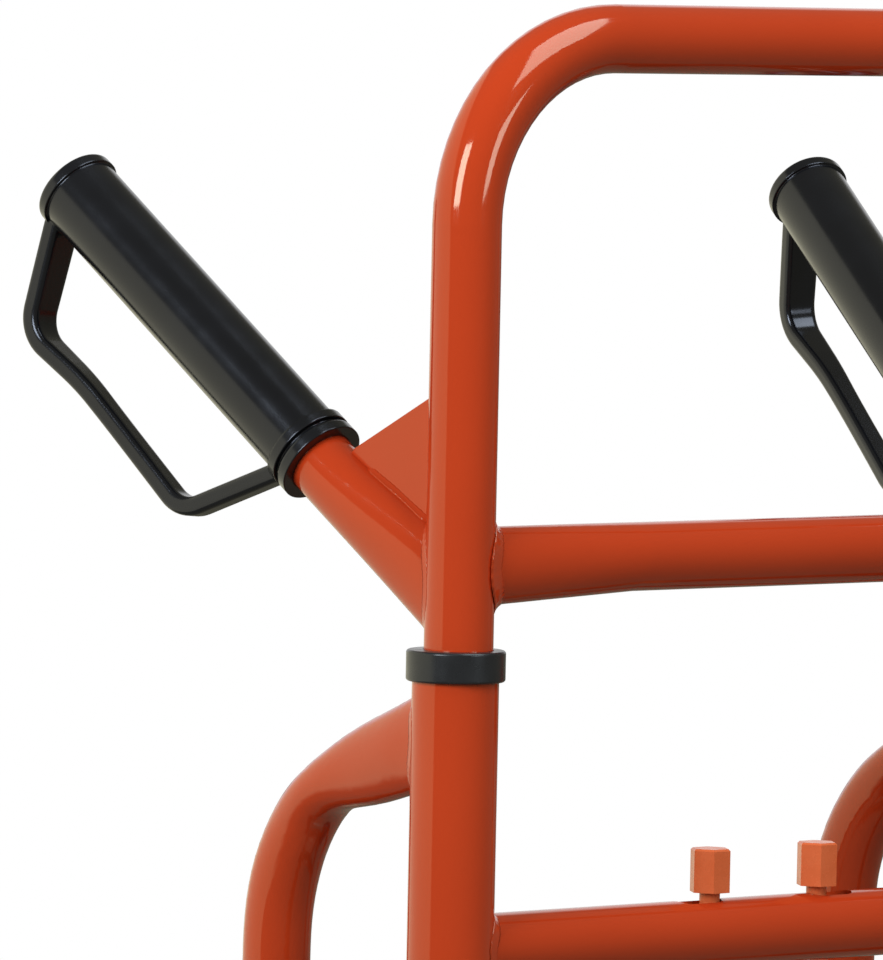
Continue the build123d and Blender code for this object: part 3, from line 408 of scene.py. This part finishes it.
def tyre_outline(share):
    """A spot on the tyre's outline and its outward way, from the crown's edge to the wall."""
    if share < CROWN_SHARE:
        x = CROWN_EDGE_X + (SHOULDER_X - CROWN_EDGE_X) * share / CROWN_SHARE
        turn = math.asin(x / CROWN_R)
        out = (math.sin(turn), math.cos(turn))
        return (CROWN_R * out[0], CROWN_CENTRE + CROWN_R * out[1]), out
    turn = WALL_TOP - WALL_SWEEP * (share - CROWN_SHARE) / (1 - CROWN_SHARE)
    out = (math.cos(turn), math.sin(turn))
    return (WALL_CENTRE[0] + WALL_R * out[0], WALL_CENTRE[1] + WALL_R * out[1]), out


def wheel_point(sign, across, far, turn):
    """A point of a wheel, so far across from its middle and so far from its axle, at a turn."""
    y = wheel_middle.y + far * math.cos(turn)
    return Vector((sign * wheel_middle.x + across, y, wheel_middle.z + far * math.sin(turn)))


def lay_lug(points, faces, sign, wall, middle_turn):
    """Adds one lug, which rises from the crown's edge and dies out on the wall."""
    start = len(points)
    for ring in range(LUG_RINGS):
        share = ring / (LUG_RINGS - 1)
        (half_x, radius), (out_x, out_r) = tyre_outline(share)
        rise = LUG_FIRST_RISE + LUG_RISE_RATE * share
        fall = LUG_LAST_RISE + LUG_FALL_RATE * (1 - share)
        height = LUG_HEIGHT * min(1, rise, fall)
        for side_way, up in ((-1, -LUG_SINK), (-LUG_TOP, height), (LUG_TOP, height), (1, -LUG_SINK)):
            turn = middle_turn + LUG_LEAN * (share - 0.5) + side_way * LUG_HALF / radius
            points.append(wheel_point(sign, wall * (half_x + out_x * up), radius + out_r * up, turn))
    join_rings(faces, start, 4, LUG_RINGS, closed=False)


def lay_wall_line(points, faces, sign, wall, line_r):
    """Adds one raised line round a tyre's wall."""
    start = len(points)
    line_x = WALL_CENTRE[0] + WALL_R * math.cos(math.asin((line_r - WALL_CENTRE[1]) / WALL_R))
    for step in range(WALL_LINE_STEPS):
        turn = 2 * math.pi * step / WALL_LINE_STEPS
        for part in range(WALL_LINE_AROUND):
            swell = 2 * math.pi * part / WALL_LINE_AROUND
            across = wall * (line_x + WALL_LINE_R * math.cos(swell))
            points.append(wheel_point(sign, across, line_r + WALL_LINE_R * math.sin(swell), turn))
    join_rings(faces, start, WALL_LINE_AROUND, WALL_LINE_STEPS, closed=True)


for side, sign in SIDES.items():
    points = []
    faces = []
    for wall, stagger in ((-1, 0), (1, 0.5)):
        for lug in range(LUG_COUNT):
            lay_lug(points, faces, sign, wall, 2 * math.pi * (lug + stagger) / LUG_COUNT)
        for line_r in WALL_LINES:
            lay_wall_line(points, faces, sign, wall, line_r)
    make_piece(f"{side}_tyre_lugs", points, faces, tyre_rubber, f"{side}_wheel")

# Rims and hubs: two pressed steel halves, bolted together round a turned hub that runs on a pair
# of ball bearings. Rims and hubs are powder coated grey, and bolts and bearings are plated.
POWDER_DEEP = (0.44, 0.45, 0.45, 1)
POWDER_LIGHT = (0.52, 0.53, 0.53, 1)
grey_powder_coat, shader, place = new_finish("grey_powder_coat")
clouds = add_noise(grey_powder_coat, place, grain=0.05, detail=3)
tint_between(grey_powder_coat, shader, clouds, POWDER_DEEP, POWDER_LIGHT)
patches = add_noise(grey_powder_coat, place, grain=0.01, detail=3)
gloss_between(grey_powder_coat, shader, patches, smooth=0.34, rough=0.46)
texture = add_noise(grey_powder_coat, place, grain=0.0014, detail=2)
raise_by(grey_powder_coat, shader, texture, height=0.0002, strength=0.12)
for side in SIDES:
    give_finish(grey_powder_coat, f"{side}_rim_outer_half", f"{side}_rim_inner_half", f"{side}_hub")
    give_finish(zinc_plate, f"{side}_rim_bolts", f"{side}_wheel_bearings")

# Collars, guides and glides: black mouldings, pressed on the uprights' tops, into the lock bar and
# on the legs' ends. They keep the hoop's legs and the lock bolts from rattling in their tubes.
for side in SIDES:
    give_finish(black_moulding, f"{side}_collar", f"{side}_bolt_guide", f"{side}_leg_glide")

# Squeeze lock: two plated bolts in the top cross bar, pushed apart by one spring of drawn wire
# and drawn back by the two hexagon pegs. The pegs are enamelled like the frame; their lighter orange is
# painted light, for the light that falls on them.
WIRE_DARK = (0.28, 0.28, 0.29, 1)
WIRE_BRIGHT = (0.42, 0.42, 0.42, 1)
PEG_LIT_DEEP = (0.620, 0.109, 0.032, 1)
PEG_LIT_LIGHT = (0.680, 0.130, 0.042, 1)
PEG_LIT_SHINE = (1.0, 0.85, 0.5, 1)
drawn_wire, shader, place = new_finish("drawn_wire")
shader.inputs["Metallic"].default_value = 1
clouds = add_noise(drawn_wire, place, grain=0.004, detail=3)
tint_between(drawn_wire, shader, clouds, WIRE_DARK, WIRE_BRIGHT)
patches = add_noise(drawn_wire, place, grain=0.002, detail=2)
gloss_between(drawn_wire, shader, patches, smooth=0.26, rough=0.40)
give_finish(drawn_wire, "lock_spring")
give_finish(zinc_plate, "left_lock_bolt", "right_lock_bolt")
# The pegs' finish is a lit copy of the frame's red enamel: its lighter orange is painted light.
peg_lit_enamel, shader, place = new_finish("peg_lit_enamel")
clouds = add_noise(peg_lit_enamel, place, grain=0.012, detail=2)
tint_between(peg_lit_enamel, shader, clouds, PEG_LIT_DEEP, PEG_LIT_LIGHT)
patches = add_noise(peg_lit_enamel, place, grain=0.004, detail=3)
gloss_between(peg_lit_enamel, shader, patches, smooth=0.22, rough=0.32)
shader.inputs["Specular Tint"].default_value = PEG_LIT_SHINE
texture = add_noise(peg_lit_enamel, place, grain=0.0008, detail=2)
raise_by(peg_lit_enamel, shader, texture, height=0.0001, strength=0.1)
give_finish(peg_lit_enamel, "left_release_peg", "right_release_peg")

# Hoop: one 28 mm tube bent twice, that slides in the uprights, with a cross bar whose pinched
# ends are welded to the legs.
give_finish(red_enamel, "hoop_tube", "hoop_cross_bar")
HOOP_BAR_WELD = 0.0052
HOOP_BAR_Z = 0.826
PINCH_SAG = 0.00225
PINCH_OVALS = ((0.0105, 0.01625), (0.014, 0.014))
PINCH_LENGTH = 0.089
hoop_low, hoop_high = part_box("hoop_tube")
leg_r = (hoop_high.y - hoop_low.y) / 2
leg_x = hoop_high.x - leg_r
hoop_bar_seams = []
for sign in SIDES.values():
    start = Vector((sign * leg_x, 0, HOOP_BAR_Z - PINCH_SAG))
    inward = Vector((-sign, 0, 0))
    hoop_bar_seams.append(seam_on_post(start, inward, PINCH_OVALS, PINCH_LENGTH, sign * leg_x, leg_r))
weld_piece("hoop_bar_welds", hoop_bar_seams, HOOP_BAR_WELD, "hoop", closed=True)

# Handle tubes and gussets: short tubes whose feet are pinched tall and welded to the legs, rising
# back and splayed outward, each braced by a flat plate in the corner above it.
HANDLE_WELD = 0.0020
HANDLE_RISE = math.radians(37.2)
HANDLE_SPLAY = math.radians(9.5)
HANDLE_FOOT_Z = 0.806
HANDLE_FOOT_OUT = 0.0015
HANDLE_OVALS = ((0.0095, 0.0179), (0.0106, 0.0170))
HANDLE_TAPER = 0.033
HANDLE_LIFT = 0.00245
HANDLE_DIP = 0.009
GUSSET_WELD = 0.0020
GUSSET_HALF = 0.0025
GUSSET_LOW = 0.038
GUSSET_HIGH = 0.081
# Where the gusset stands on the handle tube: how far along it, the tube's half width and half
# height there, and how far its middle lies above the line of the handle.
GUSSET_STANDS = (
    (0.033, 0.0106, 0.0170, 0.0021),
    (0.049, 0.0115, 0.0163, 0.0016),
    (0.071, 0.0131, 0.0148, 0.0005),
)
handle_seams = []
gusset_seams = []
for side, sign in SIDES.items():
    give_finish(red_enamel, f"{side}_handle_tube", f"{side}_handle_gusset")
    foot = Vector((sign * (leg_x + HANDLE_FOOT_OUT), 0, HANDLE_FOOT_Z))
    back = Vector((sign * math.sin(HANDLE_SPLAY), math.cos(HANDLE_SPLAY), 0))
    along = back * math.cos(HANDLE_RISE) + UPWARD * math.sin(HANDLE_RISE)
    above = UPWARD * math.cos(HANDLE_RISE) - back * math.sin(HANDLE_RISE)
    start = foot + above * HANDLE_LIFT
    heading = (along - above * HANDLE_DIP).normalized()
    handle_seams.append(seam_on_post(start, heading, HANDLE_OVALS, HANDLE_TAPER, sign * leg_x, leg_r))
    for face in (-1, 1):
        sideways = back.cross(UPWARD) * face
        leg_side = Vector((sign * leg_x, 0, HANDLE_FOOT_Z)) + sideways * GUSSET_HALF
        leg_side += back * math.sqrt(leg_r**2 - GUSSET_HALF**2)
        low_end = leg_side + UPWARD * GUSSET_LOW
        high_end = leg_side + UPWARD * GUSSET_HIGH
        gusset_seams.append(straight_seam(low_end, high_end, sideways, back))
        lateral = (leg_side - foot).dot(sideways)
        tube_seam = []
        for distance, half_wide, half_tall, lift in GUSSET_STANDS:
            height = lift + half_tall * math.sqrt(1 - (lateral / half_wide) ** 2)
            spot = foot + sideways * lateral + along * distance + above * height
            tube_seam.append((spot, above, sideways, sideways, above))
        gusset_seams.append(tube_seam)
weld_piece("handle_welds", handle_seams, HANDLE_WELD, "hoop", closed=True)
weld_piece("gusset_welds", gusset_seams, GUSSET_WELD, "hoop", closed=False)

# Grips: sleeves of black moulded plastic with a finger guard in one piece, pushed on to the
# handle tubes. The moulding has slightly rounded edges and a soft shine.
GRIP_DEEP = (0.0035, 0.0035, 0.0045, 1)
GRIP_LIGHT = (0.0055, 0.0055, 0.0070, 1)
GRIP_SHINE = (0.86, 0.88, 1.0, 1)
GRIP_IOR = 1.54
GRIP_EDGE_R = 0.0010
GRIP_EDGE_SAMPLES = 16
grip_moulding, shader, place = new_finish("grip_moulding")
clouds = add_noise(grip_moulding, place, grain=0.04, detail=2)
tint_between(grip_moulding, shader, clouds, GRIP_DEEP, GRIP_LIGHT)
patches = add_noise(grip_moulding, place, grain=0.012, detail=3)
gloss_between(grip_moulding, shader, patches, smooth=0.17, rough=0.22)
shader.inputs["Specular Tint"].default_value = GRIP_SHINE
shader.inputs["IOR"].default_value = GRIP_IOR
texture = add_noise(grip_moulding, place, grain=0.0030, detail=1)
bump = raise_by(grip_moulding, shader, texture, height=0.0001, strength=0.05)
soft_edge = grip_moulding.node_tree.nodes.new("ShaderNodeBevel")
soft_edge.samples = GRIP_EDGE_SAMPLES
soft_edge.inputs["Radius"].default_value = GRIP_EDGE_R
grip_moulding.node_tree.links.new(soft_edge.outputs["Normal"], bump.inputs["Normal"])
give_finish(grip_moulding, "left_grip", "right_grip")

# Studio floor: a round, pale, matt floor that takes the truck's shadow. The camera sees it nearly
# white, but it throws little light up at the truck, and the gloss doesn't show it.
FLOOR_R = 2.6
FLOOR_CORNERS = 64
FLOOR_ROUGHNESS = 0.8
FLOOR_DEEP = (0.41, 0.37, 0.34, 1)
FLOOR_LIGHT = (0.44, 0.40, 0.37, 1)
FLOOR_GLOW = 0.5
FLOOR_BOUNCE = (0.22, 0.22, 0.22, 1)
WHITE = (1, 1, 1, 1)
floor_ring = []
for i in range(FLOOR_CORNERS):
    turn = 2 * math.pi * i / FLOOR_CORNERS
    floor_ring.append(Vector((FLOOR_R * math.cos(turn), FLOOR_R * math.sin(turn), 0)))
floor_mesh = bpy.data.meshes.new("studio_floor")
floor_mesh.from_pydata(floor_ring, [], [tuple(range(FLOOR_CORNERS))])
floor = bpy.data.objects.new("studio_floor", floor_mesh)
bpy.context.collection.objects.link(floor)
floor.visible_glossy = False
pale_floor, shader, place = new_finish("pale_floor")
clouds = add_noise(pale_floor, place, grain=0.5, detail=2)
tint_between(pale_floor, shader, clouds, FLOOR_DEEP, FLOOR_LIGHT)
shader.inputs["Roughness"].default_value = FLOOR_ROUGHNESS
shader.inputs["Emission Color"].default_value = WHITE
shader.inputs["Emission Strength"].default_value = FLOOR_GLOW
floor_mesh.materials.append(pale_floor)


def choose(tree, factor, first, second):
    """The first shader where the factor is 0, and the second where it is 1."""
    mix = tree.nodes.new("ShaderNodeMixShader")
    tree.links.new(factor, mix.inputs["Fac"])
    tree.links.new(first, mix.inputs[1])
    tree.links.new(second, mix.inputs[2])
    return mix.outputs["Shader"]


floor_tree = pale_floor.node_tree
dim_bounce = floor_tree.nodes.new("ShaderNodeBsdfDiffuse")
dim_bounce.inputs["Color"].default_value = FLOOR_BOUNCE
seen = floor_tree.nodes.new("ShaderNodeLightPath").outputs
floor_look = choose(floor_tree, seen["Is Camera Ray"], dim_bounce.outputs["BSDF"], shader.outputs["BSDF"])
floor_tree.links.new(floor_look, floor_tree.nodes["Material Output"].inputs["Surface"])

# Studio lights: a large soft box overhead, one on the left and a small one low in front, with two
# fills that light the truck without showing in its gloss. All are slightly cool.
LIGHT_AIM = Vector((0, 0, 0.95))
LIGHT_COLOUR = (0.82, 0.92, 1.0)


def soft_light(name, way, across, distance, wide, tall, watts, in_gloss):
    """A soft box that stands in the given way from the hoop, with its width along the given line.
    Gloss shows it only where in_gloss is true."""
    lamp = bpy.data.lights.new(name, "AREA")
    lamp.shape = "RECTANGLE"
    lamp.size = wide
    lamp.size_y = tall
    lamp.energy = watts
    lamp.color = LIGHT_COLOUR
    out = Vector(way).normalized()
    over = out.cross(Vector(across)).normalized()
    turned = Matrix((over.cross(out), over, out)).transposed().to_4x4()
    box = bpy.data.objects.new(name, lamp)
    box.matrix_world = Matrix.Translation(LIGHT_AIM + out * distance) @ turned
    box.visible_glossy = in_gloss
    bpy.context.collection.objects.link(box)


soft_light(
    "key_box", way=(0.165, -0.506, 0.847), across=(0.980, -0.014, -0.199),
    distance=3.0, wide=2.0, tall=2.1, watts=70, in_gloss=True,
)
for name, watts, in_gloss in (("left_box", 42, True), ("left_fill", 27, False)):
    soft_light(
        name, way=(-0.923, -0.177, 0.342), across=(0.188, -0.982, 0),
        distance=2.6, wide=0.85, tall=1.2, watts=watts, in_gloss=in_gloss,
    )
soft_light(
    "low_box", way=(0.186, -0.967, 0.174), across=(0.982, 0.189, 0),
    distance=2.6, wide=0.73, tall=0.65, watts=9.6, in_gloss=True,
)
soft_light(
    "front_fill", way=(-0.070, -0.863, 0.500), across=(0.997, -0.081, 0),
    distance=2.8, wide=0.6, tall=1.2, watts=18.3, in_gloss=False,
)

# Studio surround: a white backdrop behind the truck and a white wall on its left, in a dim room.
# The camera sees white all round, and the gloss shows the wall slightly warm.
WALL_WAY = (-0.452, 0.854, -0.259)
WALL_EDGE = (0.53, 0.56)
WALL_FOOT = (-0.62, -0.45)
WALL_MIRRORED = (1.0, 0.96, 0.71, 1)
BACKDROP_WAY = (0.631, 0.774, 0)
BACKDROP_EDGE = (0.80, 0.90)
BACKDROP_FOOT = (-0.02, 0.05)
ROOM_LIGHT = 0.08
ROOM_MIRRORED = 0.2
world = bpy.data.worlds.new("studio_surround")
bpy.context.scene.world = world
world.use_nodes = True
room = world.node_tree
direction = room.nodes.new("ShaderNodeTexCoord").outputs["Generated"]
split = room.nodes.new("ShaderNodeSeparateXYZ")
room.links.new(direction, split.inputs["Vector"])
height = split.outputs["Z"]


def lean_to(way):
    """How far a direction of the surround leans to the given way: 1 along it, 0 at right angles."""
    lean = room.nodes.new("ShaderNodeVectorMath")
    lean.operation = "DOT_PRODUCT"
    lean.inputs[1].default_value = way
    room.links.new(direction, lean.inputs[0])
    return lean.outputs["Value"]


def soft_step(value, start, end):
    """Rises smoothly from 0 to 1 while the value goes from the start to the end."""
    step = room.nodes.new("ShaderNodeMapRange")
    step.interpolation_type = "SMOOTHSTEP"
    step.inputs["From Min"].default_value = start
    step.inputs["From Max"].default_value = end
    room.links.new(value, step.inputs["Value"])
    return step.outputs["Result"]


def work_out(operation, first, second):
    """One sum of two values."""
    result = room.nodes.new("ShaderNodeMath")
    result.operation = operation
    room.links.new(first, result.inputs[0])
    room.links.new(second, result.inputs[1])
    return result.outputs["Value"]


def lit_background(share, colour, dim):
    """A background that is dim, and rises to full strength as the share rises to 1."""
    background = room.nodes.new("ShaderNodeBackground")
    background.inputs["Color"].default_value = colour
    strength = room.nodes.new("ShaderNodeMapRange")
    strength.inputs["To Min"].default_value = dim
    room.links.new(share, strength.inputs["Value"])
    room.links.new(strength.outputs["Result"], background.inputs["Strength"])
    return background.outputs["Background"]


wall = work_out("MULTIPLY", soft_step(lean_to(WALL_WAY), *WALL_EDGE), soft_step(height, *WALL_FOOT))
behind = soft_step(lean_to(BACKDROP_WAY), *BACKDROP_EDGE)
backdrop = work_out("MULTIPLY", behind, soft_step(height, *BACKDROP_FOOT))
plain_white = room.nodes["Background"]
plain_white.inputs["Color"].default_value = WHITE
white_backdrop = plain_white.outputs["Background"]
seen = room.nodes.new("ShaderNodeLightPath").outputs
mirrored = work_out("MAXIMUM", seen["Is Glossy Ray"], seen["Is Transmission Ray"])
mirrored_wall = lit_background(wall, WALL_MIRRORED, ROOM_MIRRORED)
mirrored_studio = choose(room, backdrop, mirrored_wall, white_backdrop)
surround = choose(room, mirrored, lit_background(wall, WHITE, ROOM_LIGHT), mirrored_studio)
surround = choose(room, seen["Is Camera Ray"], surround, white_backdrop)
room.links.new(surround, room.nodes["World Output"].inputs["Surface"])

# Camera: stands low on the load side, to the left, and looks slightly down at the truck's upper
# half through a long lens.
CAMERA_SPOT = Vector((-2.44066, -2.77829, 1.06147))
CAMERA_TURN = math.radians(-39.19)
CAMERA_TILT = math.radians(90 - 3.23)
CAMERA_ROLL = math.radians(1.16)
CAMERA_LENS = 337.5
CAMERA_SENSOR = 36
CAMERA_REACH = 100
camera_data = bpy.data.cameras.new("photo_camera")
camera_data.lens = CAMERA_LENS
camera_data.sensor_width = CAMERA_SENSOR
camera_data.clip_end = CAMERA_REACH
camera = bpy.data.objects.new("photo_camera", camera_data)
bpy.context.collection.objects.link(camera)
aim = Matrix.Rotation(CAMERA_TURN, 4, "Z") @ Matrix.Rotation(CAMERA_TILT, 4, "X")
camera.matrix_world = Matrix.Translation(CAMERA_SPOT) @ aim @ Matrix.Rotation(CAMERA_ROLL, 4, "Z")
bpy.context.scene.camera = camera
bpy.context.scene.view_settings.view_transform = "Standard"
